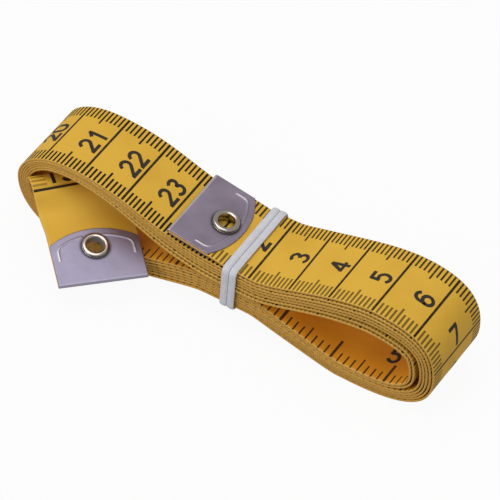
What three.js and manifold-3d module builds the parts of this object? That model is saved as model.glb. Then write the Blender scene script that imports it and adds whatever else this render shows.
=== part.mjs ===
import * as THREE from 'three';
import Module from 'manifold-3d';
import { mergeVertices } from 'three/addons/utils/BufferGeometryUtils.js';

// A cloth tape measure wound into a flat hank, pinched at its waist by an elastic band
// that goes round it twice. Millimetres, +Z up. X runs along the hank, Y across the tape.

// Tape
const tape_width = 19;
const tape_thickness = 0.3;
const layer_gap = 0.45;
const full_turns = 6;

// Outline of the outermost turn, heights above the surface it rests on
const right_end_x = 67.25;
const right_end_height = 11.45;
const right_crown_x = 52.8;
const right_crown_height = 23.35;
const left_end_x = -32.5;
const left_end_height = 12.7;
const left_crown_x = -19.3;
const left_crown_height = 21.9;
const left_foot_start_x = -16;
const left_foot_end_x = -8.8;
const right_foot_start_x = 45.2;
const right_foot_end_x = 48.5;
const waist_start_x = 13;
const waist_top_start_x = 16;
const waist_end_x = 24;
const waist_floor_height = 4.8;
const waist_core_gap = 1.25;
const right_end_handle_share = 0.575;
const right_crown_handle_share = 0.78;
const left_end_handle_share = 0.46;
const left_crown_handle_share = 0.69;
const crown_slope_share_right = 0.31;
const crown_slope_share_left = 0.395;
const waist_slope_share_right = 0.145;
const waist_slope_share_left = 0.365;
const foot_slope_share_right = 0.125;
const foot_slope_share_left = 0.23;
const step_in_start_share = 0.86;
const step_in_end_share = 0.95;
const fold_step = 1.9;
const run_step = 3.6;

// Tail: the inner end curls over inside the left loop and comes out at the near side
const tail_run_length = 1.5;
const tail_run_angle = THREE.MathUtils.degToRad(8.1);
const tail_curl_length = 30.6;
const tail_curl_angle = THREE.MathUtils.degToRad(201.2);
const tail_late_bend_share = 0.4;
const tail_skew_angle = THREE.MathUtils.degToRad(20.9);
const tail_settle_length = 3;
const tail_settle_angle = THREE.MathUtils.degToRad(-27);
const tail_settle_twist = THREE.MathUtils.degToRad(17.4);
const tail_neck_length = 0.9;
const tail_step = 0.75;

// Start end: lies on the top run and goes under the band
const start_rise_angle = THREE.MathUtils.degToRad(24);
const start_set_angle = THREE.MathUtils.degToRad(9.2);
const start_neck_length = 0.9;
const start_hinge_clearance = 0.5;
const start_step = 0.4;
const flex_gap = 0.3;

// Metal tips, a sheet folded over each end of the tape
const tip_length = 12.8;
const tip_side_share = 0.758;
const tip_metal = 0.2;
const tip_play = 0.15;
const tip_ridge_width = 0.45;
const tip_ridge_height = 0.18;
const tip_ridge_inset = 2;
const tip_ridge_side_length = 4.6;
const tip_ridge_gap_share = 0.42;
const tip_arc_parts = 16;

// Eyelets
const eyelet_edge_share = 0.664;
const eyelet_hole = 3.6;
const eyelet_wall = 0.3;
const eyelet_play = 0.25;
const eyelet_rim_width = 0.75;
const eyelet_rim_rise = 0.7;
const eyelet_back_rise = 0.25;
const eyelet_roll_share = 0.8;
const eyelet_parts = 32;
const rim_arc_parts = 5;

// Elastic band, one closed loop laid round the waist twice
const band_x = 19.2;
const band_strand_width = 1.35;
const band_thickness = 0.95;
const band_strand_gap = 0.42;
const band_play = 0.4;
const band_edge_radius = 0.3;
const band_corner_radius = 1.1;
const band_cross_half_run = 4.6;
const band_corner_parts = 5;
const band_run_step = 1.6;

const tip_side_length = tip_length * tip_side_share;
const eyelet_edge_distance = tip_length * eyelet_edge_share;
const half_width = tape_width / 2;
const half_thickness = tape_thickness / 2;
const pitch = tape_thickness + layer_gap;
const stack_thickness = full_turns * pitch + tape_thickness;
const waist_top_height = waist_floor_height + 2 * stack_thickness + waist_core_gap;

const wasm = await Module();
wasm.setup();

function solid(geometry) {
  const bare = geometry.clone();
  bare.deleteAttribute('normal');
  bare.deleteAttribute('uv');
  const merged = mergeVertices(bare, tape_thickness / 1000);
  return new wasm.Manifold(new wasm.Mesh({
    numProp: 3,
    vertProperties: new Float32Array(merged.attributes.position.array),
    triVerts: new Uint32Array(merged.index.array),
  }));
}

function geometryOf(manifold) {
  const mesh = manifold.getMesh();
  const positions = new Float32Array(mesh.vertProperties);
  const geometry = new THREE.BufferGeometry();
  geometry.setAttribute('position', new THREE.BufferAttribute(positions, mesh.numProp));
  geometry.setIndex(new THREE.BufferAttribute(new Uint32Array(mesh.triVerts), 1));
  geometry.computeVertexNormals();
  return geometry;
}

// Closed sweep of rings of points. Open ends are filled with a fan of the ring.
function sweep(rings, closed) {
  const count = rings[0].length;
  const positions = rings.flat().flatMap((p) => p.toArray());
  const index = [];
  const last = closed ? rings.length : rings.length - 1;
  for (let i = 0; i < last; i += 1) {
    const a = i * count;
    const b = ((i + 1) % rings.length) * count;
    for (let j = 0; j < count; j += 1) {
      const k = (j + 1) % count;
      index.push(a + j, b + j, b + k);
      index.push(a + j, b + k, a + k);
    }
  }
  if (!closed) {
    const end = (rings.length - 1) * count;
    for (let j = 1; j < count - 1; j += 1) {
      index.push(0, j, j + 1);
      index.push(end, end + j + 1, end + j);
    }
  }
  const geometry = new THREE.BufferGeometry();
  geometry.setAttribute('position', new THREE.Float32BufferAttribute(positions, 3));
  geometry.setIndex(index);
  geometry.computeVertexNormals();
  return geometry;
}

// Outline of the outermost turn, walked from the waist top to the right, down and back
function span(ax, az, aDirX, aDirZ, aReach, bx, bz, bDirX, bDirZ, bReach, step) {
  const curve = new THREE.CubicBezierCurve(
    new THREE.Vector2(ax, az),
    new THREE.Vector2(ax + aDirX * aReach, az + aDirZ * aReach),
    new THREE.Vector2(bx - bDirX * bReach, bz - bDirZ * bReach),
    new THREE.Vector2(bx, bz),
  );
  return { curve, parts: Math.max(1, Math.ceil(curve.getLength() / step)) };
}

function line(ax, bx, z) {
  const curve = new THREE.LineCurve(new THREE.Vector2(ax, z), new THREE.Vector2(bx, z));
  return { curve, parts: Math.max(1, Math.ceil(curve.getLength() / run_step)) };
}

const rise_right = right_crown_x - waist_end_x;
const rise_left = waist_top_start_x - left_crown_x;
const dip_right = (right_foot_start_x - waist_end_x) * foot_slope_share_right;
const dip_left = (waist_start_x - left_foot_end_x) * foot_slope_share_left;
const hinge_x = band_x - band_strand_width - band_strand_gap / 2 - start_hinge_clearance;

const spans = [
  line(hinge_x, waist_end_x, waist_top_height),
  span(waist_end_x, waist_top_height, 1, 0, rise_right * waist_slope_share_right,
    right_crown_x, right_crown_height, 1, 0, rise_right * crown_slope_share_right, run_step),
  span(right_crown_x, right_crown_height, 1, 0, (right_end_x - right_crown_x) * right_crown_handle_share,
    right_end_x, right_end_height, 0, -1,
    (right_crown_height - right_end_height) * right_end_handle_share, fold_step),
  span(right_end_x, right_end_height, 0, -1, right_end_height * right_end_handle_share,
    right_foot_end_x, 0, -1, 0, (right_end_x - right_foot_end_x) * right_crown_handle_share, fold_step),
  line(right_foot_end_x, right_foot_start_x, 0),
  span(right_foot_start_x, 0, -1, 0, dip_right,
    waist_end_x, waist_floor_height, -1, 0, dip_right, run_step),
  line(waist_end_x, waist_start_x, waist_floor_height),
  span(waist_start_x, waist_floor_height, -1, 0, dip_left,
    left_foot_end_x, 0, -1, 0, dip_left, run_step),
  line(left_foot_end_x, left_foot_start_x, 0),
  span(left_foot_start_x, 0, -1, 0, (left_foot_start_x - left_end_x) * left_crown_handle_share,
    left_end_x, left_end_height, 0, 1, left_end_height * left_end_handle_share, fold_step),
  span(left_end_x, left_end_height, 0, 1, (left_crown_height - left_end_height) * left_end_handle_share,
    left_crown_x, left_crown_height, 1, 0,
    (left_crown_x - left_end_x) * left_crown_handle_share, fold_step),
  span(left_crown_x, left_crown_height, 1, 0, rise_left * crown_slope_share_left,
    waist_top_start_x, waist_top_height, 1, 0, rise_left * waist_slope_share_left, fold_step),
  line(waist_top_start_x, hinge_x, waist_top_height),
];

const outline = [];
let walked = 0;
let tail_mark = 0;
spans.forEach((part, number) => {
  for (let i = 0; i < part.parts; i += 1) {
    const share = i / part.parts;
    const along = part.curve.getTangentAt(share);
    outline.push({
      at: part.curve.getPointAt(share),
      inward: new THREE.Vector2(along.y, -along.x),
      walked: walked + part.curve.getLength() * share,
    });
  }
  walked += part.curve.getLength();
  if (number === 7) tail_mark = outline.length;
});
const turn_length = walked;

// Each turn keeps to its own level and steps in by one pitch before it passes the waist
function winding(turn, i) {
  const spot = outline[i];
  const share = spot.walked / turn_length;
  const step = THREE.MathUtils.smoothstep(share, step_in_start_share, step_in_end_share);
  const depth = half_thickness + pitch * (turn + step);
  return new THREE.Vector3(spot.at.x + spot.inward.x * depth, 0, spot.at.y + spot.inward.y * depth);
}

const across = new THREE.Vector3(0, 1, 0);
const path = [];
for (let turn = 0; turn <= full_turns; turn += 1) {
  const stop = turn < full_turns ? outline.length : tail_mark;
  for (let i = 0; i < stop; i += 1) path.push(winding(turn, i));
}

// A place on the strip: its centre, the way it runs, the way across it and its upper side
function place(center, along, side) {
  return { center: center.clone(), along: along.clone(), side: side.clone(), up: side.clone().cross(along) };
}

function turned(place_, bend, twist, length) {
  const spin = place_.side.clone().multiplyScalar(bend).addScaledVector(place_.along, twist);
  const angle = spin.length();
  const along = place_.along.clone();
  const side = place_.side.clone();
  if (angle > 0) {
    const axis = spin.normalize();
    along.applyAxisAngle(axis, angle);
    side.applyAxisAngle(axis, angle);
  }
  const middle = place_.along.clone().add(along).multiplyScalar(length / 2);
  return place(place_.center.clone().add(middle), along, side);
}

// The tail bends with its curvature and twist given along its length
const tail_curl_end = tail_run_length + tail_curl_length;
const tail_soft_length = tail_curl_end + tail_settle_length;
const tail_length = tail_soft_length + tip_length;
const tail_hinge_length = tail_soft_length - tail_neck_length;

function tailBend(s) {
  if (s < tail_run_length) return tail_run_angle / tail_run_length;
  if (s < tail_curl_end) {
    const phase = 2 * Math.PI * (s - tail_run_length) / tail_curl_length;
    const later = 1 - tail_late_bend_share * Math.sin(phase);
    return tail_curl_angle / tail_curl_length * (1 - Math.cos(phase)) * later;
  }
  return s < tail_soft_length ? tail_settle_angle / tail_settle_length : 0;
}

function tailTwist(s) {
  if (s < tail_run_length) return 0;
  if (s < tail_curl_end) return -Math.tan(tail_skew_angle) * tailBend(s);
  return s < tail_soft_length ? tail_settle_twist / tail_settle_length : 0;
}

const foot_level = full_turns * pitch + half_thickness;
let tail_at = place(
  new THREE.Vector3(left_foot_end_x, 0, foot_level), new THREE.Vector3(-1, 0, 0), across);
const tail_marks = [
  0,
  tail_run_length,
  tail_curl_end,
  tail_hinge_length - flex_gap / 2,
  tail_hinge_length,
  tail_hinge_length + flex_gap / 2,
  tail_soft_length,
  tail_length,
];
const tail_places = [{ s: 0, ...tail_at }];
for (let m = 1; m < tail_marks.length; m += 1) {
  const from = tail_marks[m - 1];
  const gap = tail_marks[m] - from;
  const parts = Math.max(1, Math.ceil(gap / tail_step));
  for (let i = 0; i < parts; i += 1) {
    const length = gap / parts;
    const middle = from + (i + 0.5) * length;
    tail_at = turned(tail_at, tailBend(middle) * length, tailTwist(middle) * length, length);
    tail_places.push({ s: from + (i + 1) * length, ...tail_at });
  }
}
const tail_end = tail_places[tail_places.length - 1];
const tail_hinge = tail_places.find((p) => p.s >= tail_hinge_length);

// Strip of tape through a row of places
function stripRing(center, side, up) {
  const a = side.clone().multiplyScalar(half_width);
  const b = up.clone().multiplyScalar(half_thickness);
  return [
    center.clone().sub(a).sub(b),
    center.clone().add(a).sub(b),
    center.clone().add(a).add(b),
    center.clone().sub(a).add(b),
  ];
}

function stripThrough(places) {
  return sweep(places.map((p) => stripRing(p.center, p.side, p.up)), false);
}

const hank_places = path.map((center, i) => {
  const before = path[Math.max(i - 1, 0)];
  const after = path[Math.min(i + 1, path.length - 1)];
  const along = after.clone().sub(before).normalize();
  return place(center, along, across);
});
hank_places[0].center.x += flex_gap / 2;
const hank_tail_places = tail_places.filter((p) => p.s < tail_hinge_length - flex_gap / 4);
const free_tail_places = tail_places.filter((p) => p.s > tail_hinge_length + flex_gap / 4);

// Start end, from the hinge beside the band to the straight edge of the tip
const hinge_height = waist_top_height - half_thickness;
const start_length = start_neck_length + tip_length;
let start_at = place(
  new THREE.Vector3(hinge_x, 0, hinge_height), new THREE.Vector3(-1, 0, 0), across);
const start_places = [];
const neck_half_parts = Math.max(1, Math.ceil(start_neck_length / 2 / start_step));
const neck_bends = [start_rise_angle, start_set_angle - start_rise_angle];
for (const bend of neck_bends) {
  for (let i = 0; i < neck_half_parts; i += 1) {
    start_at = turned(start_at, bend / neck_half_parts, 0, start_neck_length / 2 / neck_half_parts);
    start_places.push(start_at);
  }
}
const start_tip_begin = start_at;
const start_end = turned(start_at, 0, 0, tip_length);
start_places.push(start_end);
const start_hinge_place = place(
  new THREE.Vector3(hinge_x - flex_gap / 2, 0, hinge_height), new THREE.Vector3(-1, 0, 0), across);

// Turns a piece made flat, +X toward the fold of the tip and +Z its outer face, onto a place
function settle(manifold, end, flip) {
  const up = end.up.clone().multiplyScalar(flip);
  const side = up.clone().cross(end.along);
  const matrix = new THREE.Matrix4().makeBasis(end.along, side, up);
  matrix.setPosition(end.center);
  return manifold.transform(matrix.toArray());
}

const tip_half = half_thickness + tip_play + tip_metal;
const tip_slot_half = half_thickness + tip_play;
const tip_arc_sagitta = tip_length - tip_side_length;
const tip_arc_radius = (half_width * half_width + tip_arc_sagitta * tip_arc_sagitta) / (2 * tip_arc_sagitta);
const eyelet_outer = eyelet_hole / 2 + eyelet_wall;
const punched_radius = eyelet_outer + eyelet_play;

function tipPlan(inset) {
  const reach = half_width - inset;
  const radius = tip_arc_radius - inset;
  const center_x = -tip_length + tip_arc_radius;
  const angle = Math.asin(reach / radius);
  const plan = [];
  for (let i = 0; i <= tip_arc_parts; i += 1) {
    const a = angle * (1 - 2 * i / tip_arc_parts);
    plan.push(new THREE.Vector2(center_x - radius * Math.cos(a), radius * Math.sin(a)));
  }
  return plan;
}

function prism(outlinePoints, z0, z1) {
  const shape = new THREE.Shape(outlinePoints);
  const geometry = new THREE.ExtrudeGeometry(shape, { depth: z1 - z0, bevelEnabled: false });
  geometry.translate(0, 0, z0);
  return solid(geometry);
}

function drill(radius, reach) {
  const geometry = new THREE.CylinderGeometry(radius, radius, reach * 2, eyelet_parts);
  geometry.rotateX(Math.PI / 2);
  geometry.translate(-eyelet_edge_distance, 0, 0);
  return solid(geometry);
}

// Raised line near the rounded edge: along one side, round the corner and part way on the arc
function ridge(sign) {
  const outer = tipPlan(tip_ridge_inset);
  const inner = tipPlan(tip_ridge_inset + tip_ridge_width);
  const keep = Math.floor(tip_arc_parts * tip_ridge_gap_share);
  const side_outer = new THREE.Vector2(outer[0].x + tip_ridge_side_length, outer[0].y);
  const side_inner = new THREE.Vector2(outer[0].x + tip_ridge_side_length, inner[0].y);
  const band = [side_outer, ...outer.slice(0, keep), ...inner.slice(0, keep).reverse(), side_inner];
  const points = band.map((p) => new THREE.Vector2(p.x, p.y * sign));
  return prism(points, tip_half - tip_metal / 2, tip_half + tip_ridge_height);
}

function tip() {
  const arc = tipPlan(0);
  const plan = [new THREE.Vector2(0, half_width), ...arc, new THREE.Vector2(0, -half_width)];
  let body = prism(plan, -tip_half, tip_half);
  const slot = new THREE.BoxGeometry(tip_length * 2, tape_width * 2, tip_slot_half * 2);
  slot.translate(-tip_length - tip_metal, 0, 0);
  body = body.subtract(solid(slot));
  body = body.add(ridge(1)).add(ridge(-1));
  return body.subtract(drill(punched_radius, tip_length));
}

// Eyelet: a barrel with a rolled rim on each face of the tip
function eyelet() {
  const bore = eyelet_hole / 2;
  const rim_outer = eyelet_outer + eyelet_rim_width;
  const seat = tip_half + tip_play;
  const middle = (bore + rim_outer) / 2;
  const reach = (rim_outer - bore) / 2;
  const roll = (rise, sign) => {
    const points = [];
    for (let i = 0; i <= rim_arc_parts; i += 1) {
      const a = Math.PI * (1 - i / rim_arc_parts);
      const z = seat + rise * (1 - eyelet_roll_share) + rise * eyelet_roll_share * Math.sin(a);
      points.push(new THREE.Vector2(middle + reach * Math.cos(a), sign * z));
    }
    return points;
  };
  const profile = [
    ...roll(eyelet_rim_rise, 1),
    new THREE.Vector2(rim_outer, seat),
    new THREE.Vector2(eyelet_outer, seat),
    new THREE.Vector2(eyelet_outer, -seat),
    new THREE.Vector2(rim_outer, -seat),
    ...roll(eyelet_back_rise, -1).reverse(),
  ];
  const ring = profile.reverse();
  const rings = [];
  for (let i = 0; i < eyelet_parts; i += 1) {
    const a = 2 * Math.PI * i / eyelet_parts;
    rings.push(ring.map((p) => new THREE.Vector3(
      -eyelet_edge_distance + p.x * Math.cos(a), p.x * Math.sin(a), p.y)));
  }
  return solid(sweep(rings, true));
}

// Elastic band: one closed loop, two strands side by side that cross under the waist
const band_pitch = band_strand_width + band_strand_gap;
const band_half = band_thickness / 2;
const band_bottom = waist_floor_height - band_play - band_half;
const band_top = waist_top_height + band_play + band_half;
const band_reach = half_width + band_play + band_half;
const band_drop = band_thickness + band_strand_gap * 1.1;

function bandLoop() {
  const r = band_corner_radius;
  const loop = [];
  const run = (y0, z0, y1, z1, ny, nz) => {
    const parts = Math.ceil(Math.hypot(y1 - y0, z1 - z0) / band_run_step);
    for (let i = 0; i < parts; i += 1) {
      const t = i / parts;
      loop.push({ y: y0 + (y1 - y0) * t, z: z0 + (z1 - z0) * t, ny, nz });
    }
  };
  const corner = (cy, cz, from) => {
    for (let i = 0; i < band_corner_parts; i += 1) {
      const a = from + Math.PI / 2 * i / band_corner_parts;
      loop.push({ y: cy + r * Math.cos(a), z: cz + r * Math.sin(a), ny: Math.cos(a), nz: Math.sin(a) });
    }
  };
  run(0, band_bottom, band_reach - r, band_bottom, 0, -1);
  corner(band_reach - r, band_bottom + r, -Math.PI / 2);
  run(band_reach, band_bottom + r, band_reach, band_top - r, 1, 0);
  corner(band_reach - r, band_top - r, 0);
  run(band_reach - r, band_top, r - band_reach, band_top, 0, 1);
  corner(r - band_reach, band_top - r, Math.PI / 2);
  run(-band_reach, band_top - r, -band_reach, band_bottom + r, -1, 0);
  corner(r - band_reach, band_bottom + r, Math.PI);
  run(r - band_reach, band_bottom, 0, band_bottom, 0, -1);
  return loop;
}

function bandGeometry() {
  const loop = bandLoop();
  const w = band_strand_width / 2;
  const c = band_edge_radius;
  const section = [
    [w - c, -band_half],
    [c - w, -band_half],
    [-w, c - band_half],
    [-w, band_half - c],
    [c - w, band_half],
    [w - c, band_half],
    [w, band_half - c],
    [w, c - band_half],
  ];
  const rings = [];
  for (let lap = 0; lap < 2; lap += 1) {
    const sign = lap === 0 ? 1 : -1;
    loop.forEach((p, i) => {
      const low = p.nz < -0.5;
      const first_half = i < loop.length / 2;
      const near = low ? THREE.MathUtils.smoothstep(Math.abs(p.y), 0, band_cross_half_run) : 1;
      const x = band_x + sign * near * band_pitch / 2;
      const crossing = (lap === 0) !== first_half;
      const dip = low && crossing
        ? 1 - THREE.MathUtils.smoothstep(Math.abs(p.y), band_cross_half_run, band_reach - band_corner_radius)
        : 0;
      const z = p.z - band_drop * dip;
      rings.push(section.map(([a, b]) => new THREE.Vector3(x + a, p.y + p.ny * b, z + p.nz * b)));
    });
  }
  return sweep(rings, true);
}

// Least gap of the wound strip to itself, from its places to the runs of the other turns
function leastGap() {
  const reach = 2 * (fold_step + run_step);
  const runs = [];
  let s = 0;
  for (let i = 0; i + 1 < path.length; i += 1) {
    const length = path[i].distanceTo(path[i + 1]);
    runs.push({ a: path[i], b: path[i + 1], from: s, to: s + length });
    s += length;
  }
  const wound = s;
  const spots = path.map((center, i) => ({
    center,
    side: across,
    s: i < runs.length ? runs[i].from : wound,
  }));
  tail_places.forEach((p) => spots.push({ center: p.center, side: p.side, s: wound + p.s }));
  let least = Infinity;
  for (const spot of spots) {
    for (const share of [-1, -0.5, 0, 0.5, 1]) {
      const p = spot.center.clone().addScaledVector(spot.side, half_width * share);
      for (const run of runs) {
        if (Math.abs(spot.s - run.from) < reach || Math.abs(spot.s - run.to) < reach) continue;
        const dx = run.b.x - run.a.x;
        const dz = run.b.z - run.a.z;
        const t = ((p.x - run.a.x) * dx + (p.z - run.a.z) * dz) / (dx * dx + dz * dz);
        const u = THREE.MathUtils.clamp(t, 0, 1);
        const flat = Math.hypot(p.x - run.a.x - dx * u, p.z - run.a.z - dz * u);
        const aside = Math.max(0, Math.abs(p.y) - half_width);
        least = Math.min(least, Math.hypot(flat, aside) - tape_thickness);
      }
    }
  }
  return { least, wound };
}

const gap = leastGap();
console.log('least gap of the tape to itself', gap.least.toFixed(3), 'mm');
console.log('wound length', (gap.wound + tail_length + start_length).toFixed(1), 'mm');
console.log('outermost turn', turn_length.toFixed(1), 'mm');

const group = new THREE.Group();

function add(name, geometry, color, roughness, metalness) {
  const material = new THREE.MeshStandardMaterial({ color, roughness, metalness });
  const mesh = new THREE.Mesh(geometry, material);
  mesh.name = name;
  group.add(mesh);
  return mesh;
}

const start_strip = solid(stripThrough([start_hinge_place, ...start_places.slice(0, -1),
  turned(start_tip_begin, 0, 0, tip_length - tip_metal - tip_play)]));
const tail_tip_places = free_tail_places.filter((p) => p.s < tail_length - tip_metal - tip_play);
tail_tip_places.push(turned(tail_tip_places[tail_tip_places.length - 1], 0, 0,
  tail_length - tip_metal - tip_play - tail_tip_places[tail_tip_places.length - 1].s));
const tail_strip = solid(stripThrough(tail_tip_places));
const hole = drill(punched_radius, tip_length);

add('tape_hank', stripThrough([...hank_places, ...hank_tail_places]), 0xd9ab3f, 0.8, 0);
add('tape_start_end', geometryOf(start_strip.subtract(settle(hole, start_end, 1))), 0xd9ab3f, 0.8, 0);
add('tape_tail', geometryOf(tail_strip.subtract(settle(hole, tail_end, -1))), 0xd9ab3f, 0.8, 0);
add('start_tip', geometryOf(settle(tip(), start_end, 1)), 0x877d88, 0.45, 0.9);
add('start_eyelet', geometryOf(settle(eyelet(), start_end, 1)), 0xc9c9cc, 0.2, 1);
add('tail_tip', geometryOf(settle(tip(), tail_end, -1)), 0xa89cab, 0.45, 0.9);
add('tail_eyelet', geometryOf(settle(eyelet(), tail_end, -1)), 0xc9c9cc, 0.2, 1);
add('elastic_band', bandGeometry(), 0xe2e0e4, 0.6, 0);

// The origin is at the middle of the whole, on the surface that it rests on
const box = new THREE.Box3().setFromObject(group);
const middle = box.getCenter(new THREE.Vector3());
group.children.forEach((mesh) => mesh.geometry.translate(-middle.x, -middle.y, -box.min.z));
const tail_axis = tail_hinge.side.toArray().map((v) => v.toFixed(4)).join(' ');
const tail_pivot = tail_hinge.center.clone().sub(new THREE.Vector3(middle.x, middle.y, box.min.z));
console.log('tail hinge', tail_pivot.toArray().map((v) => v.toFixed(2)).join(' '), 'axis', tail_axis);
const start_pivot = new THREE.Vector3(hinge_x - middle.x, -middle.y, hinge_height - box.min.z);
console.log('start hinge', start_pivot.toArray().map((v) => v.toFixed(2)).join(' '));
console.log('shift', middle.x.toFixed(3), middle.y.toFixed(3), box.min.z.toFixed(3));

export default group;
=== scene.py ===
import math

import bmesh
import bpy
import numpy as np
from mathutils import Matrix, Vector


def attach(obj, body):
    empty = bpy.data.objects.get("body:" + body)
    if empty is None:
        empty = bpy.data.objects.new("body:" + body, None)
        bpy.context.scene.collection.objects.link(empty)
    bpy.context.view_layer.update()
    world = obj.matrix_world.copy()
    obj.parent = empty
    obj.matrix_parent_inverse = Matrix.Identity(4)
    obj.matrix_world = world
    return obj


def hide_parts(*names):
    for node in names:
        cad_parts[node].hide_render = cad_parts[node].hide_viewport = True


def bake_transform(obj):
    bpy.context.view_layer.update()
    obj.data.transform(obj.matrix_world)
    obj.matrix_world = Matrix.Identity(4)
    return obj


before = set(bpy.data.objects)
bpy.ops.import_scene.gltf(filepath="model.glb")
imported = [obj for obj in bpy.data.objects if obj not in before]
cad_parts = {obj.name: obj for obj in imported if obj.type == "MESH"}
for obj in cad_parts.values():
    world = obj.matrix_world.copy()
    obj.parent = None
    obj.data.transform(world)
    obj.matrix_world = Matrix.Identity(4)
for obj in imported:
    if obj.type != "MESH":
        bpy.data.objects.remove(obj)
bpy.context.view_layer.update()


# Picture: a pale floor without an edge, a broad soft lamp overhead, one in front, and a pale room.
# The camera is far and narrow, 47 degrees above the table, and sees the near side of the hank.
class Wire:
    """A socket of a material; arithmetic on it adds Math nodes to the same material."""

    def __init__(self, finish, socket):
        self.finish = finish
        self.socket = socket

    def math(self, operation, *others):
        values = {0: self}
        values.update({place + 1: other for place, other in enumerate(others)})
        return self.finish.node("ShaderNodeMath", {"operation": operation}, values)

    def __add__(self, other):
        return self.math("ADD", other)

    def __sub__(self, other):
        return self.math("SUBTRACT", other)

    def __mul__(self, other):
        return self.math("MULTIPLY", other)

    def __truediv__(self, other):
        return self.math("DIVIDE", other)

    def __rsub__(self, other):
        return (self * -1.0).math("ADD", other)

    def __abs__(self):
        return self.math("ABSOLUTE")

    def __mod__(self, other):
        return self.math("FLOORED_MODULO", other)

    def __or__(self, other):
        return self.math("MAXIMUM", other)

    def above(self, low, high):
        """0 under low, 1 over high, smooth between; with low over high it falls instead."""
        flip = low > high
        values = {0: self, 1: min(low, high), 2: max(low, high)}
        values.update({3: 1.0, 4: 0.0} if flip else {3: 0.0, 4: 1.0})
        return self.finish.node("ShaderNodeMapRange", {"interpolation_type": "SMOOTHSTEP"}, values)

    __radd__ = __add__
    __rmul__ = __mul__


class Finish:
    """A material with one Principled shader; node() adds any node and returns one output."""

    def __init__(self, name, **constants):
        self.material = bpy.data.materials.new(name)
        self.material.use_nodes = True
        self.tree = self.material.node_tree
        self.shader = self.tree.nodes["Principled BSDF"]
        self.end = self.tree.nodes["Material Output"]
        for label, value in constants.items():
            self.shader.inputs[label.replace("_", " ")].default_value = value

    def node(self, kind, settings=None, values=None, output=0):
        made = self.tree.nodes.new(kind)
        for label, value in (settings or {}).items():
            setattr(made, label, value)
        for label, value in (values or {}).items():
            self.join(value, made.inputs[label])
        return Wire(self, made.outputs[output])

    def join(self, value, socket):
        if isinstance(value, Wire):
            self.tree.links.new(value.socket, socket)
        else:
            socket.default_value = value

    def feed(self, label, value):
        self.join(value, self.shader.inputs[label])

    def place(self):
        return self.node("ShaderNodeTexCoord", output="Object")

    def stretched(self, place, scale):
        return self.node("ShaderNodeMapping", {}, {"Vector": place, "Scale": scale})

    def noise(self, place, scale, detail=2.0, roughness=0.5):
        values = {"Vector": place, "Scale": scale, "Detail": detail, "Roughness": roughness}
        return self.node("ShaderNodeTexNoise", {}, values)

    def colours(self, mask, first, second):
        settings = {"data_type": "RGBA"}
        values = {0: mask, 6: first, 7: second}
        return self.node("ShaderNodeMix", settings, values, output=2)

    def relief(self, height, strength, distance):
        values = {"Height": height, "Strength": strength, "Distance": distance}
        return self.node("ShaderNodeBump", {}, values)


def quads(rows, columns, ring=False):
    """Faces of a grid of points, row by row; ring joins the last column to the first."""
    row = np.arange(rows - 1)[:, None] * columns
    column = np.arange(columns if ring else columns - 1)
    after = (column + 1) % columns
    below = row + columns
    return np.stack([row + column, below + column, below + after, row + after], -1).reshape(-1, 4)


# From the millimetres that the sizes here are given in to the frame, which has its zero elsewhere
part_shift = np.array([-17.375, 8.183, 0.0])


def shaped(name, points, faces, finishes, finish_index=None, smooth=True):
    """A mesh from points in the part's millimetres, put where the frame has the part."""
    mesh = bpy.data.meshes.new(name)
    mesh.from_pydata(((points + part_shift) * 0.001).tolist(), [], np.asarray(faces).tolist())
    for finish in finishes:
        mesh.materials.append(finish.material)
    if finish_index is not None:
        mesh.polygons.foreach_set("material_index", finish_index.astype(np.int32))
    mesh.polygons.foreach_set("use_smooth", np.full(len(mesh.polygons), smooth))
    mesh.update()
    piece = bpy.data.objects.new(name, mesh)
    bpy.context.collection.objects.link(piece)
    return piece


# The camera alone sees the floor and the room nearly white; the object gets the plain light.
floor_finish = Finish("floor_paper", Base_Color=(0.62, 0.62, 0.62, 1), Roughness=0.9)
seen = floor_finish.node("ShaderNodeLightPath", output="Is Camera Ray")
glow = floor_finish.node("ShaderNodeEmission", {}, {"Color": (1, 1, 1, 1), "Strength": 1.0})
lit = Wire(floor_finish, floor_finish.shader.outputs[0])
both = floor_finish.node("ShaderNodeMixShader", {}, {0: seen * 0.94, 1: lit, 2: glow})
floor_finish.join(both, floor_finish.end.inputs["Surface"])
floor_reach = 4000.0
floor_points = np.array([[-1, -1, 0], [1, -1, 0], [1, 1, 0], [-1, 1, 0]]) * floor_reach
floor = shaped("floor", floor_points, [[0, 1, 2, 3]], [floor_finish], smooth=False)

room = bpy.data.worlds.new("room")
bpy.context.scene.world = room
room.use_nodes = True
room_nodes = room.node_tree.nodes
room_light = room_nodes["Background"]
room_light.inputs["Color"].default_value = (1.0, 1.0, 1.0, 1)
room_light.inputs["Strength"].default_value = 0.5
room_seen = room_nodes.new("ShaderNodeBackground")
room_seen.inputs["Color"].default_value = (1, 1, 1, 1)
room_path = room_nodes.new("ShaderNodeLightPath")
room_mix = room_nodes.new("ShaderNodeMixShader")
room.node_tree.links.new(room_path.outputs["Is Camera Ray"], room_mix.inputs[0])
room.node_tree.links.new(room_light.outputs[0], room_mix.inputs[1])
room.node_tree.links.new(room_seen.outputs[0], room_mix.inputs[2])
room.node_tree.links.new(room_mix.outputs[0], room_nodes["World Output"].inputs["Surface"])


def lamp(name, place, aim, size, power):
    """A square soft lamp at place, turned to face aim, both in metres."""
    light = bpy.data.lights.new(name, "AREA")
    light.size = size
    light.energy = power
    made = bpy.data.objects.new(name, light)
    made.location = place
    made.rotation_euler = (Vector(aim) - Vector(place)).to_track_quat("-Z", "Y").to_euler()
    bpy.context.collection.objects.link(made)


lamp("lamp_overhead", (-0.1, -0.08, 0.8), (0, 0, 0), 0.65, 3.15)
lamp("lamp_front", (-0.3, -0.75, 0.45), (0, 0, 0), 0.5, 1.7)

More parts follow.
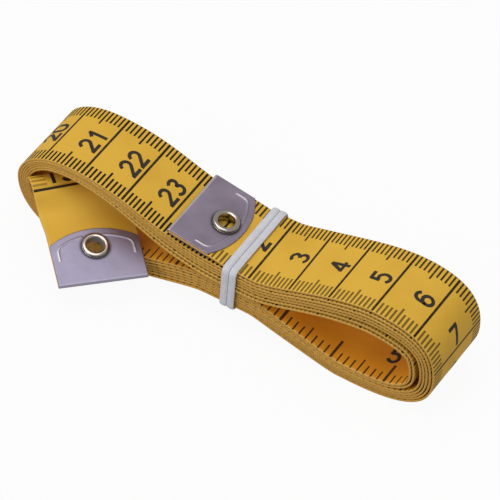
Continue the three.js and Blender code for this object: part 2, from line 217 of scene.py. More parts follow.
eye_right = (0.85092, 0.521962, 0.059082)
eye_up = (-0.416662, 0.60217, 0.681016)
eye_back = (0.319887, -0.604108, 0.729881)
eye_place = (0.327945, -0.609684, 0.75889)
camera = bpy.data.cameras.new("camera")
camera.sensor_width = 36
camera.lens = 360
camera.clip_end = 20
camera_object = bpy.data.objects.new("camera", camera)
turn = Matrix((eye_right, eye_up, eye_back)).transposed().to_4x4()
camera_object.matrix_world = Matrix.Translation(eye_place) @ turn
bpy.context.collection.objects.link(camera_object)
bpy.context.scene.camera = camera_object
bpy.context.scene.view_settings.view_transform = "Standard"

# Tape: woven cloth 19 mm wide under a yellow coat, with centimetres outside and inches inside.
# It is wound round six times and more, clockwise from the near side, and its sizes are the solids'.
# The turns lie loose over the larger loop and close together over the smaller one.
tape_width = 19.0
tape_thickness = 0.42
half_width = tape_width / 2
half_thickness = tape_thickness / 2
hinge_x = 17.14
waist_top = 15.65
waist_floor = 4.8


def bend(first, first_way, first_reach, last, last_way, last_reach):
    """Cubic curve between two places, with a handle ahead of the first and one behind the last.

    The four points are weighted by t and one less t: cubed at the ends, mixed threefold between.
    """
    t = np.linspace(0, 1, 401)[:, None]
    a, d = np.array(first), np.array(last)
    b = a + np.array(first_way) * first_reach
    c = d - np.array(last_way) * last_reach
    return ((1 - t) ** 3 * a + 3 * (1 - t) ** 2 * t * b + 3 * (1 - t) * t * t * c + t ** 3 * d)[:-1]


def level(first_x, last_x, height):
    """Straight level run."""
    x = np.linspace(first_x, last_x, 101)[:-1]
    return np.stack([x, np.full(len(x), height)], 1)


def run_lengths(places):
    """Length of a line of places up to each of them: the steps between them, added up."""
    return np.concatenate([[0], np.cumsum(np.linalg.norm(np.diff(places, axis=0), axis=1))])


# The outline is the outermost turn, clockwise from the band, as x and height of the near edge.
# A loop's round reaches these shares of the distance along the level and along the steep way.
right_way, left_way, up_way, down_way = (1, 0), (-1, 0), (0, 1), (0, -1)
right_end, right_crown = (67.25, 11.45), (52.8, 23.35)
left_end, left_crown = (-32.5, 12.7), (-19.3, 21.9)
waist_left, under_left, waist_right = 16, 13, 24
right_foot, right_foot_inner = 48.5, 45.2
left_foot, left_foot_inner = -16, -8.8
right_level, right_steep = 0.78, 0.575
left_level, left_steep = 0.69, 0.46
right_over, right_under = right_end[0] - right_crown[0], right_end[0] - right_foot
left_over, left_under = left_crown[0] - left_end[0], left_foot - left_end[0]
right_fall, left_fall = right_crown[1] - right_end[1], left_crown[1] - left_end[1]
rise_right = right_crown[0] - waist_right
rise_left = waist_left - left_crown[0]
dip_right = (right_foot_inner - waist_right) * 0.125
dip_left = (under_left - left_foot_inner) * 0.23
walk = np.concatenate([
    level(hinge_x, waist_right, waist_top),
    bend((waist_right, waist_top), right_way, rise_right * 0.145,
         right_crown, right_way, rise_right * 0.31),
    bend(right_crown, right_way, right_over * right_level,
         right_end, down_way, right_fall * right_steep),
    bend(right_end, down_way, right_end[1] * right_steep,
         (right_foot, 0), left_way, right_under * right_level),
    level(right_foot, right_foot_inner, 0),
    bend((right_foot_inner, 0), left_way, dip_right,
         (waist_right, waist_floor), left_way, dip_right),
    level(waist_right, under_left, waist_floor),
    bend((under_left, waist_floor), left_way, dip_left,
         (left_foot_inner, 0), left_way, dip_left),
    level(left_foot_inner, left_foot, 0),
    bend((left_foot, 0), left_way, left_under * left_level,
         left_end, up_way, left_end[1] * left_steep),
    bend(left_end, up_way, left_fall * left_steep,
         left_crown, right_way, left_over * left_level),
    bend(left_crown, right_way, rise_left * 0.395,
         (waist_left, waist_top), right_way, rise_left * 0.365),
    level(waist_left, hinge_x, waist_top),
])
walk = np.vstack([walk, walk[:1]])
walked = run_lengths(walk)
turn_length = walked[-1]
outline_at = np.linspace(0, turn_length, 2401)[:-1]
outline = np.stack([np.interp(outline_at, walked, walk[:, k]) for k in (0, 1)], 1)
outline_way = np.roll(outline, -6, axis=0) - np.roll(outline, 6, axis=0)
outline_way /= np.linalg.norm(outline_way, axis=1)[:, None]
outline_in = np.stack([outline_way[:, 1], -outline_way[:, 0]], 1)


def around(values, share):
    """Values kept round the outline, read at shares of a turn that may go past one."""
    at = np.mod(share, 1) * len(values)
    low = np.floor(at).astype(int) % len(values)
    part = at - np.floor(at)
    part = part if values.ndim == 1 else part[:, None]
    return values[low] * (1 - part) + values[(low + 1) % len(values)] * part


def marked(marks):
    """Values given at marks of x, height and value, kept all round the outline and smoothed."""
    places = np.linalg.norm(outline[None] - marks[:, None, :2], axis=2).argmin(1)
    order = np.argsort(places)
    values = np.interp(outline_at, outline_at[places[order]], marks[order, 2], period=turn_length)
    window = np.hanning(101)
    wrapped = np.concatenate([values[-50:], values, values[:50]])
    return np.convolve(wrapped, window / window.sum(), "valid")


# Spacing is from turn to turn, and tilt is how far the far edge stands over the near one.
# Bunching is how unevenly the turns lie, pinch how far the waist presses the outer turns in below,
# and slack how far the innermost turn hangs clear at the larger loop's fold.
spacing = marked(np.array([
    [17.2, 15.6, 0.82], [24, 15.6, 0.80], [31, 17.8, 0.79], [40, 20.5, 0.87], [52, 23.3, 0.98],
    [61, 22, 0.96], [65.6, 17.6, 0.84], [67.2, 11.4, 0.74], [60, 1.4, 0.62], [44, 0.3, 0.60],
    [33, 3.0, 0.64], [24.5, 4.8, 0.74], [13, 4.8, 0.80], [2, 1.9, 0.78], [-8.8, 0, 0.74],
    [-22, 1, 0.62], [-32.4, 12.7, 0.52], [-27, 20.4, 0.48], [-17, 21.9, 0.48], [-7, 20.6, 0.58],
    [2, 17.6, 0.70], [10, 15.9, 0.78],
]))
tilt = marked(np.array([
    [17.2, 15.6, 0.1], [24, 15.6, 0.3], [29, 17.2, 0.42], [34, 18.8, 0.2], [39, 20.3, 0.05],
    [46, 22.3, -0.05], [51, 23.3, -0.15], [56, 23.2, 0.0], [67.2, 11.4, 0.0], [60, 1.4, 0.0],
    [-8.8, 0, 0.0], [-32.4, 12.7, 0.0], [-27, 20.4, -0.2], [-17, 21.9, -0.1], [-7, 20.6, 0.1],
    [2, 17.6, 0.15], [10, 15.9, 0.1],
]))
bunching = marked(np.array([
    [17.2, 15.6, 0.9], [24, 15.6, 1.0], [52, 23.3, 1.0], [67.2, 11.4, 0.8], [60, 1.4, 0.5],
    [33, 3.0, 0.25], [24.5, 4.8, 0.1], [13, 4.8, 0.0], [-8.8, 0, 0.0], [-32.4, 12.7, 0.4],
    [-17, 21.9, 0.8], [2, 17.6, 1.0],
]))
pinch = marked(np.array([
    [29, 3.9, 0.0], [25, 4.8, 1.0], [14, 4.8, 1.0], [8, 3.6, 0.0], [2, 17.6, 0.0], [40, 20.5, 0.0],
]))
slack = marked(np.array([
    [40, 20.5, 0.0], [52, 23.3, 0.3], [61, 22, 0.55], [65.6, 17.6, 0.75], [67.2, 11.4, 0.8],
    [64, 4.2, 0.6], [57, 0.8, 0.1], [48, 0, 0.0],
]))
foot_away = np.linalg.norm(outline - [left_foot_inner, 0], axis=1)
foot_share = outline_at[foot_away.argmin()] / turn_length
whole_turns = 6
least_spacing = 0.44


def smooth_step(low, high, value):
    """0 at low, 1 at high and smooth between, as three times t squared less twice t cubed."""
    t = np.clip((value - low) / (high - low), 0, 1)
    return t * t * (3 - 2 * t)


def waver(turns):
    """Slow uneven drift of the turns against each other, from -0.44 to 0.44, none at both ends."""
    drift = 0.22 * np.sin(2 * np.pi * (2.71 * turns + 0.1))
    drift += 0.15 * np.sin(2 * np.pi * (5.37 * turns + 0.4))
    drift += 0.07 * np.sin(2 * np.pi * (9.83 * turns + 0.7))
    last = whole_turns + foot_share
    return drift * smooth_step(0.95, 1.25, turns) * smooth_step(last, last - 0.2, turns)


def wound_depth(turns):
    """How deep the middle of the tape lies under the outline, by turns from the band.

    It is half the cloth, the spacing for each turn, and what bunching, pinch and slack add.
    """
    share = np.mod(turns, 1)
    gap = around(spacing, share)
    level_in = np.floor(turns) + smooth_step(0.86, 0.95, share)
    drawn_up = np.interp(level_in, np.arange(7), [0, -0.05, -0.2, -0.35, -0.5, -0.3, 0])
    uneven = around(bunching, share) * drawn_up + 0.2 * waver(turns)
    squeezed = 0.3 * around(pinch, share) * (1 - level_in / whole_turns)
    slack_in = around(slack, share) * smooth_step(4.4, 5, level_in)
    uneven *= gap - least_spacing
    return half_thickness + gap * level_in + uneven + squeezed + slack_in


# The winding's sheet begins 3 mm past the start end's hinge, where the start's own sheet stops
start_run = 3.0
turns = np.linspace(start_run / turn_length, whole_turns + foot_share, 1700)
wound_xz = around(outline, turns) + around(outline_in, turns) * wound_depth(turns)[:, None]
wound = np.stack([wound_xz[:, 0], np.zeros(len(turns)), wound_xz[:, 1]], 1)
wound_way = np.gradient(wound, axis=0)
wound_way /= np.linalg.norm(wound_way, axis=1)[:, None]
wound_out = -around(outline_in, turns)
wound_lean = around(tilt, turns) / half_width
wound_side = np.stack([wound_out[:, 0] * wound_lean, np.ones(len(turns)),
                       wound_out[:, 1] * wound_lean], 1)


def turned(center, way, side, bend_by, twist_by, length):
    """The next place on a strip that bends and twists by these angles over that length."""
    spin = Vector(side) * bend_by + Vector(way) * twist_by
    turn_by = Matrix.Identity(3)
    if spin.length > 0:
        turn_by = Matrix.Rotation(spin.length, 3, spin.normalized())
    next_way = np.array(turn_by @ Vector(way))
    next_side = np.array(turn_by @ Vector(side))
    return center + (np.array(way) + next_way) * length / 2, next_way, next_side


# Tail: the inner end follows the smaller loop's fold, turns over and comes out at the near side.
# Its bend and twist for each millimetre are given at even lengths, and it ends in its metal tip.
# The rows of the tip's place are the middle of its straight edge, its way and its side.
tip_length = 12.8
tail_tip_place = np.array([
    [-4.0798, -20.3395, 7.0083], [0.698944, -0.685475, -0.203963], [0.696572, 0.717117, -0.023046]])
tail_start_height = 4.65
tail_soft = 38.684
tail_bends = [0, 0.0274, 0.0444, 0.1049, 0.1864, 0.2098, 0.1800, 0.1300, -0.1350, -0.0400]
tail_twists = [0, -0.0211, -0.0182, -0.0271, -0.0580, -0.1148, -0.0076, 0.0627, -0.0500, -0.0100]
tail_lengths = np.linspace(0, tail_soft, 121)
tail_step = tail_lengths[1]
tail_knots = np.linspace(0, tail_soft, len(tail_bends))
tail_middles = tail_lengths[:-1] + tail_step / 2
tail_turns = np.interp(tail_middles, tail_knots, tail_bends) * tail_step
tail_spins = np.interp(tail_middles, tail_knots, tail_twists) * tail_step
leftwards, farwards = np.array([-1.0, 0, 0]), np.array([0.0, 1.0, 0])
tail_places = [(np.array([left_foot_inner, 0, tail_start_height]), leftwards, farwards)]
for bend_by, twist_by in zip(tail_turns, tail_spins):
    tail_places.append(turned(*tail_places[-1], bend_by, twist_by, tail_step))
tail_frames = np.array([np.stack(spot) for spot in tail_places])
tip_start = tail_tip_place - np.stack([tail_tip_place[1] * tip_length, [0, 0, 0], [0, 0, 0]])
settling = smooth_step(0, tail_soft, tail_lengths)[:, None, None]
tail_frames += (tip_start - tail_frames[-1])[None] * settling
tail_frames = np.concatenate([tail_frames, tail_tip_place[None]])
tail_lengths = np.append(tail_lengths, tail_soft + tip_length)
tail, tail_way, tail_side = tail_frames[:, 0], tail_frames[:, 1], tail_frames[:, 2]

# Start end: leaves the waist beside the band, rises over the top run and lies down on it.
# It turns up and back down in two short steps each, and its tip keeps the slope that is left.
start_sunk = 0.15
start_hinge_place = np.array([hinge_x, 0, waist_top - start_sunk])
start_rise, start_slope, start_step = 24, 9.2, 0.225
start_places = [(start_hinge_place, leftwards, farwards)]
for degrees in (start_rise, start_rise, start_slope - start_rise, start_slope - start_rise):
    start_places.append(turned(*start_places[-1], math.radians(degrees) / 2, 0, start_step))
start_places.append(turned(*start_places[-1], 0, 0, tip_length))
start, start_way, start_side = (np.array(rows) for rows in zip(*start_places))


def read_along(lengths, values, at):
    """Rows of values kept at lengths, read at other lengths."""
    return np.stack([np.interp(at, lengths, values[:, k]) for k in range(3)], 1)


# The print in centimetres: where the waist's top run begins, and where the tail leaves the winding
tail_end_length = tail_soft + tip_length
last_line, bare_end = 150, 23
print_start = 1.384
print_end = last_line - (tail_end_length - bare_end) / 10
face_across = np.array([0.0, 0.3, 0.62, 0.955, 0.987])
hole_radius = 2.25


def strip(name, center, way, side, printed, finishes, hole_at=None):
    """Tape through places: a closed flat section carried along them, split in halves round a hole.

    Each half's section runs over the outer face, the rounded edge and the inner face. The halves
    meet on the middle line, and where the hole is they keep the hole's half width apart.
    """
    way = way / np.linalg.norm(way, axis=1)[:, None]
    side = side - way * (side * way).sum(1)[:, None]
    side /= np.linalg.norm(side, axis=1)[:, None]
    inner = np.cross(side, way)
    rows = len(center)
    apart = np.zeros(rows)
    if hole_at is not None:
        apart = np.sqrt(np.maximum(0, hole_radius ** 2 - hole_at ** 2))
    section_across = np.concatenate([face_across, [0.997, 1.0, 0.997], face_across[::-1]])
    section_out = np.array([1, 1, 1, 1, 1, 0.6, 0, -0.6, -1, -1, -1, -1, -1]) * half_thickness
    columns = len(section_across)
    section_finish = np.array([0, 0, 0, 0, 2, 2, 2, 2, 1, 1, 1, 1])
    outer_place = np.arange(columns // 2)
    inner_place = columns - 1 - outer_place
    faces, finish_index, points, across_all, out_all = [], [], [], [], []
    for half, sign in enumerate((-1, 1)):
        across = sign * (apart[:, None] + (half_width - apart[:, None]) * section_across[None])
        offset = half * rows * columns
        grid = quads(rows, columns) + offset
        wall = np.arange(rows - 1)[:, None] * columns + offset
        wall = np.stack([wall, wall + columns - 1, wall + 2 * columns - 1, wall + columns], -1)
        wall = wall.reshape(-1, 4)[(apart[:-1] + apart[1:]) > 1e-6]
        cap = np.stack([outer_place, outer_place + 1, inner_place - 1, inner_place], -1) + offset
        last_cap = cap[:, ::-1] + (rows - 1) * columns
        made = np.concatenate([grid, wall, cap, last_cap])
        faces.append(made if sign > 0 else made[:, ::-1])
        finish_index.append(np.concatenate([
            np.tile(section_finish, rows - 1), np.full(len(wall) + 2 * len(cap), 2)]))
        out = np.tile(section_out, (rows, 1))
        points.append((center[:, None] + side[:, None] * across[..., None]
                       - inner[:, None] * out[..., None]).reshape(-1, 3))
        across_all.append(across.reshape(-1))
        out_all.append(out.reshape(-1))
    piece = shaped(name, np.concatenate(points), np.concatenate(faces), finishes,
                   np.concatenate(finish_index))
    mesh = piece.data
    corner = np.zeros(len(mesh.loops), np.int32)
    mesh.loops.foreach_get("vertex_index", corner)
    along = np.tile(np.repeat(printed, columns), 2)
    uv = np.stack([np.concatenate(across_all) / 10, along], 1)[corner]
    mesh.uv_layers.new(name="print").data.foreach_set("uv", uv.astype(np.float32).reshape(-1))
    rim = mesh.attributes.new("rim", "FLOAT", "POINT")
    rim.data.foreach_set("value", (np.concatenate(out_all) / half_thickness).astype(np.float32))
    work = bmesh.new()
    work.from_mesh(mesh)
    bmesh.ops.remove_doubles(work, verts=work.verts, dist=1e-7)
    bmesh.ops.dissolve_degenerate(work, edges=work.edges, dist=1e-8)
    bmesh.ops.recalc_face_normals(work, faces=work.faces)
    work.to_mesh(mesh)
    work.free()
    return piece


half_across = half_width / 10


def print_place(finish):
    """How far across the tape and how far along its print a place lies, both in centimetres."""
    uv = finish.node("ShaderNodeUVMap", {"uv_map": "print"})
    parts = finish.node("ShaderNodeSeparateXYZ", {}, {0: uv})
    return parts, Wire(finish, parts.socket.node.outputs[1])


def printed_face(name, yellow, deep):
    """Yellow coat on cloth: soft blotches, a paler margin with painted light on hidden turns, weave
    and gloss.
    """
    finish = Finish(name, Roughness=0.5, Specular_IOR_Level=0.2)
    place = finish.place()
    blotch = finish.noise(place, 90.0, 3.0)
    base = finish.colours(blotch.above(0.35, 0.7), yellow, deep)
    fine = finish.noise(place, 900.0, 2.0)
    across, along = print_place(finish)
    margin = (half_across - abs(across)).above(0.075, 0.015)
    # Painted light: the margin of the hidden turns is painted paler against the shade between the
    # turns.
    painted_light_turns = along.above(24.5, 25) * along.above(146, 144)
    base = finish.colours(margin * (painted_light_turns * 0.6 + 0.2), base, (0.82, 0.54, 0.15, 1))
    weave = ((along * 31.4).math("SINE") * (across * 31.4).math("SINE")) * 0.5 + fine
    finish.feed("Normal", finish.relief(weave, 0.25, 0.00005))
    finish.feed("Roughness", fine * 0.2 + 0.5)
    return finish, across, along, base, fine


def near(value, period, width, soft=0.004):
    """1 within half a width of each whole period, 0 away from it."""
    off = abs((value / period + 0.5) % 1.0 - 0.5) * period - width * 0.5
    return off.above(soft / 2, -soft / 2)


# Outer face: lines stop short of the edge. Ticks are a little broader and paler at the near edge,
# full in the smaller loop's top turn, and painted fainter on the hidden turns as painted light.
outer_yellows = (0.70, 0.41, 0.045, 1), (0.65, 0.37, 0.036, 1)
outer_face, across, along, base, fine = printed_face("tape_outer", *outer_yellows)
rim_in = half_across - abs(across)
printed_part = along.above(last_line + 0.04, last_line + 0.02)
inside = rim_in.above(0.012, 0.022)
far_side = across.above(-0.1, 0.1)
tick_width = far_side * -0.004 + 0.047
strength = far_side * 0.18 + 0.76 + along.above(18, 19) * along.above(25, 24.5) * 0.24
# Painted light: ticks on the hidden turns are made fainter against the shade between the turns.
strength = strength - along.above(24.5, 25) * 0.25
millimetres = near(along, 0.1, tick_width) * rim_in.above(0.335, 0.325)
fives = near(along, 0.5, tick_width) * rim_in.above(0.455, 0.445)
centimetres = near(along, 1.0, 0.054)
ink = ((millimetres | fives) * strength | centimetres * 0.97) * inside * printed_part
worn = fine.above(0.25, 0.5) * 0.06 + 0.95
outer_face.feed("Base Color", outer_face.colours(ink * worn, base, (0.012, 0.007, 0.003, 1)))

# Inner face: inches, with the line inch_at as the first, and shorter lines for their parts
inner_yellows = (0.80, 0.35, 0.016, 1), (0.72, 0.30, 0.012, 1)
inner_face, across, along, base, fine = printed_face("tape_inner", *inner_yellows)
rim_in = half_across - abs(across)
inch = 2.54
inch_at = 0.81
sixteenths = near(along - inch_at, inch / 16, 0.038) * rim_in.above(0.28, 0.27)
quarters = near(along - inch_at, inch / 4, 0.032) * rim_in.above(0.395, 0.385)
halves = near(along - inch_at, inch / 2, 0.058) * rim_in.above(0.55, 0.54)
inches = near(along - inch_at, inch, 0.066) * rim_in.above(0.55, 0.54)
ink = (sixteenths | quarters | halves | inches) * rim_in.above(0.014, 0.028)
inner_face.feed("Base Color", inner_face.colours(ink * 0.92, base, (0.022, 0.014, 0.008, 1)))

# Cut edge: bare tan cloth with the dark ends of its threads in a row under the outer face
edge_face = Finish("tape_edge", Roughness=0.75)
across, along = print_place(edge_face)
rim = edge_face.node("ShaderNodeAttribute", {"attribute_name": "rim"}, output="Fac")
edge_cloud = edge_face.noise(edge_face.place(), 260.0, 3.0)
tan = edge_face.colours(edge_cloud, (0.52, 0.27, 0.036, 1), (0.61, 0.345, 0.055, 1))
threads = near(along, 0.05, 0.016, 0.02) * rim.above(0.9, 0.2)
edge_face.feed("Base Color", edge_face.colours(threads * 0.3, tan, (0.22, 0.11, 0.03, 1)))
edge_face.feed("Normal", edge_face.relief(threads * -1.0, 0.4, 0.00008))
tape_finishes = [outer_face, inner_face, edge_face]

# Print along the winding: on the first turn it follows marks of x, height and centimetre on the
# outline, on the last it counts back from the tail, and over the turns between it is evened out.
wound_lengths = run_lengths(wound)
inner_lengths = wound_lengths - wound_lengths[-1]
line_marks = np.array([
    [23.3, 15.6, 2], [32.5, 18.3, 3], [41.8, 21.2, 4], [51.7, 23.3, 5], [61.6, 21.7, 6],
    [66.9, 13.2, 7.04], [-26.8, 20.3, 20], [-17.4, 21.8, 21], [-7.3, 20.6, 22], [2.0, 17.5, 23],
])
first_turn_print = 23.15
line_away = np.linalg.norm(outline[None] - line_marks[:, None, :2], axis=2)
line_turn = np.concatenate([[0], outline_at[line_away.argmin(1)] / turn_length, [1.0]])
line_print = np.concatenate([[print_start], line_marks[:, 2], [print_start + first_turn_print]])
first_print = np.interp(turns, line_turn, line_print)
first_end = np.interp(1.0, turns, first_print)
last_print = print_end + inner_lengths / 10
last_from = 5.2
last_start = np.interp(last_from, turns, last_print)
middle = first_end + (turns - 1.0) / (last_from - 1.0) * (last_start - first_end)
printed = np.where(turns < 1, first_print, np.where(turns > last_from, last_print, middle))

# The winding takes the first 28 mm of the tail's run. Its turns wander a little to and fro, and the
# inner ones stand out towards the near side, most where they bunch.
tail_cut = 28.0
kept = tail_lengths <= tail_cut + 1e-9
kept_at = np.append(tail_lengths[kept], tail_cut)[1:]
hank_center = np.vstack([wound, read_along(tail_lengths, tail, kept_at)])
hank_way = np.vstack([wound_way, read_along(tail_lengths, tail_way, kept_at)])
hank_side = np.vstack([wound_side, read_along(tail_lengths, tail_side, kept_at)])
hank_print = np.concatenate([printed, print_end + kept_at / 10])
drift = 0.10 * np.sin(2 * np.pi * turns * 0.83) + 0.06 * np.sin(2 * np.pi * turns * 3.1 + 1)
hank_center[:len(turns), 1] += drift * smooth_step(0.9, 1.3, turns) * smooth_step(6.5, 6.2, turns)
standing_out = np.interp(turns - 0.1, np.arange(7), [0, 0.12, 0.16, 0.18, 0.22, 0.30, 0.38])
standing_out *= around(bunching, np.mod(turns, 1)) * smooth_step(0.55, 1.0, turns)
hank_center[:len(turns), 1] -= standing_out
hank = strip("tape_winding", hank_center, hank_way, hank_side, hank_print, tape_finishes)
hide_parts("tape_hank")
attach(hank, "hank")

# Tail's free run, with rows close together along the eyelet's hole. It ends just inside the fold.
eyelet_back = tip_length * 0.664
hole_steps = hole_radius * np.cos(np.linspace(0, np.pi, 17))
inside_fold = 0.45
tail_eyelet = tail_end_length - eyelet_back
bending = (tail_lengths > tail_cut + 0.05) & (tail_lengths < tail_soft + 1.5)
free_at = np.concatenate([[tail_cut], tail_lengths[bending], tail_eyelet - hole_steps,
                          [tail_end_length - 3, tail_end_length - inside_fold]])
tail_run = [read_along(tail_lengths, values, free_at) for values in (tail, tail_way, tail_side)]
tail_piece = strip("tape_tail_run", *tail_run, print_end + free_at / 10, tape_finishes,
                   hole_at=free_at - tail_eyelet)
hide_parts("tape_tail")
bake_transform(tail_piece)

# Start's free run, from inside its fold past the eyelet's hole to the waist. There it goes on as
# the first 3 mm of the winding's outermost turn.
start_lengths = run_lengths(start)
start_total = start_lengths[-1]
start_at = np.sort(np.concatenate([[inside_fold, 3.0, 12.0], eyelet_back + hole_steps]))
start_at = np.concatenate([start_at, start_total - start_lengths[:-1][::-1]])
outer_run = np.array([0.6, 1.2, 1.8, 2.4, start_run])
run_turns = outer_run / turn_length
run_depth = wound_depth(run_turns)[:, None]
run_xz = around(outline, run_turns) + around(outline_in, run_turns) * run_depth
run_center = np.stack([run_xz[:, 0], run_xz[:, 0] * 0, run_xz[:, 1]], 1)
blend_in = smooth_step(0, start_run, outer_run)
run_center[:, 2] += (1 - blend_in) * (half_thickness - start_sunk)
run_way = np.tile([1.0, 0, 0], (len(outer_run), 1))
from_waist = start_total - start_at
start_center = np.vstack([read_along(start_lengths, start, from_waist), run_center])
start_ways = np.vstack([-read_along(start_lengths, start_way, from_waist), run_way])
start_sides = np.tile(farwards, (len(start_center), 1))
start_print = np.concatenate([start_at * print_start / start_total, print_start + outer_run / 10])
start_hole = np.concatenate([start_at - eyelet_back, start_total + outer_run])
start_piece = strip("tape_start_run", start_center, start_ways, start_sides, start_print,
                    tape_finishes, hole_at=start_hole)
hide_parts("tape_start_end")
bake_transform(start_piece)

# Figures: thin black ink printed with the scale. Outside their tops look to the lower numbers, and
# inside to the far edge. Each is made of strokes of one width along the middle lines of its shape.


def arc(cx, cy, rx, ry, start_angle, stop_angle, count=14):
    """Places on an ellipse: its middle plus each half width times the angle's cosine or sine."""
    a = np.radians(np.linspace(start_angle, stop_angle, count))
    return np.stack([cx + rx * np.cos(a), cy + ry * np.sin(a)], 1)


figure_strokes = {
    "0": [np.vstack([arc(0.31, 0.69, 0.29, 0.31, 0, 180), arc(0.31, 0.31, 0.29, 0.31, 180, 360),
                     [[0.60, 0.69]]])],
    "1": [np.array([[0.10, 0.74], [0.40, 1.0]]), np.array([[0.38, 1.09], [0.38, -0.09]])],
    "2": [np.vstack([arc(0.31, 0.71, 0.28, 0.29, 170, -32), [[0.04, 0.02]]]),
          np.array([[-0.06, 0.0], [0.68, 0.0]])],
    "3": [np.vstack([arc(0.30, 0.765, 0.25, 0.235, 155, -90),
                     arc(0.30, 0.27, 0.29, 0.27, 90, -155)])],
    "4": [np.array([[0.46, 1.06], [0.01, 0.26]]), np.array([[-0.08, 0.26], [0.70, 0.26]]),
          np.array([[0.46, 1.09], [0.46, -0.09]])],
    "5": [np.array([[0.62, 1.0], [0.06, 1.0]]), np.array([[0.09, 1.06], [0.07, 0.50]]),
          arc(0.30, 0.33, 0.29, 0.33, 138, -150, 22)],
    "6": [arc(0.31, 0.30, 0.28, 0.30, 0, 360, 28),
          np.vstack([[[0.03, 0.30]], arc(0.31, 0.70, 0.28, 0.30, 180, 25, 16)])],
    "7": [np.array([[-0.06, 1.0], [0.68, 1.0]]), np.array([[0.60, 1.0], [0.25, -0.09]])],
    "8": [arc(0.31, 0.765, 0.25, 0.235, 0, 360, 24), arc(0.31, 0.27, 0.29, 0.27, 0, 360, 26)],
    "9": [arc(0.31, 0.70, 0.28, 0.30, 0, 360, 28),
          np.vstack([[[0.59, 0.70]], arc(0.31, 0.30, 0.28, 0.30, 0, -155, 16)])],
}
figure_height, figure_stroke, figure_pitch = 3.85, 0.78, 3.3
figure_middle, figure_lift = 0.31, 0.03


def finely(line, step=0.25):
    """The same line with places no farther apart than the step."""
    lengths = run_lengths(line)
    at = np.linspace(0, lengths[-1], max(2, int(lengths[-1] / step) + 2))
    return np.stack([np.interp(at, lengths, line[:, 0]), np.interp(at, lengths, line[:, 1])], 1)


def inked(labels, center, side, inner_way, lengths, face, aside=0.0):
    """Flat strokes of the figures laid on one face of a strip, as points and faces.

    Each label is a number and the print length of its feet. On the outer face, where face is 1, the
    tops look to the lower lengths. On the inner face, where it is -1, they look to the far edge.
    """
    points, faces, count = [], [], 0
    for text, feet in labels:
        for place, sign in enumerate(text):
            for stroke in figure_strokes[sign]:
                line = finely(stroke * figure_height)
                way = np.gradient(line, axis=0)
                way /= np.linalg.norm(way, axis=1)[:, None]
                across_way = np.stack([-way[:, 1], way[:, 0]], 1) * figure_stroke / 2
                ribbon = np.stack([line + across_way, line - across_way], 1).reshape(-1, 2)
                if face < 0:
                    ribbon = np.stack([ribbon[:, 1], -ribbon[:, 0]], 1)
                apart = (place - (len(text) - 1) / 2) * figure_pitch
                reading = ribbon[:, :1] - figure_middle * figure_height + apart + aside
                at = feet - ribbon[:, 1] * face / 10
                spot = read_along(lengths, center, at) + read_along(lengths, side, at) * reading
                spot -= read_along(lengths, inner_way, at) * (half_thickness + figure_lift) * face
                points.append(spot)
                faces.append(quads(len(line), 2) + count)
                count += len(spot)
    return np.concatenate(points), np.concatenate(faces)


ink_finish = Finish("print_ink", Roughness=0.55, Specular_IOR_Level=0.3)
ink_cloud = ink_finish.noise(ink_finish.place(), 700.0, 2.0)
ink_blacks = (0.014, 0.010, 0.007, 1), (0.040, 0.026, 0.015, 1)
ink_finish.feed("Base Color", ink_finish.colours(ink_cloud, *ink_blacks))

label_center = np.vstack([run_center, hank_center])
label_way = np.vstack([run_way, hank_way])
label_side = np.vstack([start_sides[-len(outer_run):], hank_side])
label_print = np.concatenate([start_print[-len(outer_run):], hank_print])
laid = (label_center, label_side, np.cross(label_side, label_way), label_print)
# Outside, the figures in view are 2 to 24 and the last. Inside they are 7, 6 and 5, which stand at
# the 53rd to the 55th inch line, because that scale counts from the tail's end.
outer_gap, inner_gap = 0.12, 0.275
outer_labels = [(str(number), number - outer_gap) for number in range(2, 25)]
last_label = [(str(last_line), last_line - outer_gap)]
inner_labels = [(str(6 - place), inch_at + inch * (54 + place) + inner_gap) for place in (-1, 0, 1)]
outer_points, outer_faces = inked(outer_labels, *laid, 1)
last_points, last_faces = inked(last_label, *laid, 1, -1.6)
inner_points, inner_faces = inked(inner_labels, *laid, -1, -2.3)
figure_points = np.concatenate([outer_points, last_points, inner_points])
inner_faces = inner_faces[:, ::-1] + len(outer_points) + len(last_points)
figure_faces = np.concatenate([outer_faces, last_faces + len(outer_points), inner_faces])
figures = shaped("figures_hank", figure_points, figure_faces, [ink_finish])
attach(figures, "hank")

# Band: elastic thread under a white knitted cover, one closed loop laid twice round the waist.
# The two strands lie side by side on top and cross under the waist. The foot is pulled into the
# waist's underside, and the top lies down on the tape and follows its tilt.
band_x, band_half_pitch, band_half_thick, band_half_wide = 19.2, 0.86, 0.34, 0.83
band_low = waist_floor + 0.25 - band_half_thick
band_high = waist_top + 0.1 + band_half_thick
band_reach = half_width + 0.36 + band_half_thick
band_corner = 1.25
band_tilt = 0.024
cross_reach = 4.6
corner_side = band_reach - band_corner
quarter = np.radians(np.linspace(0, 90, 13))


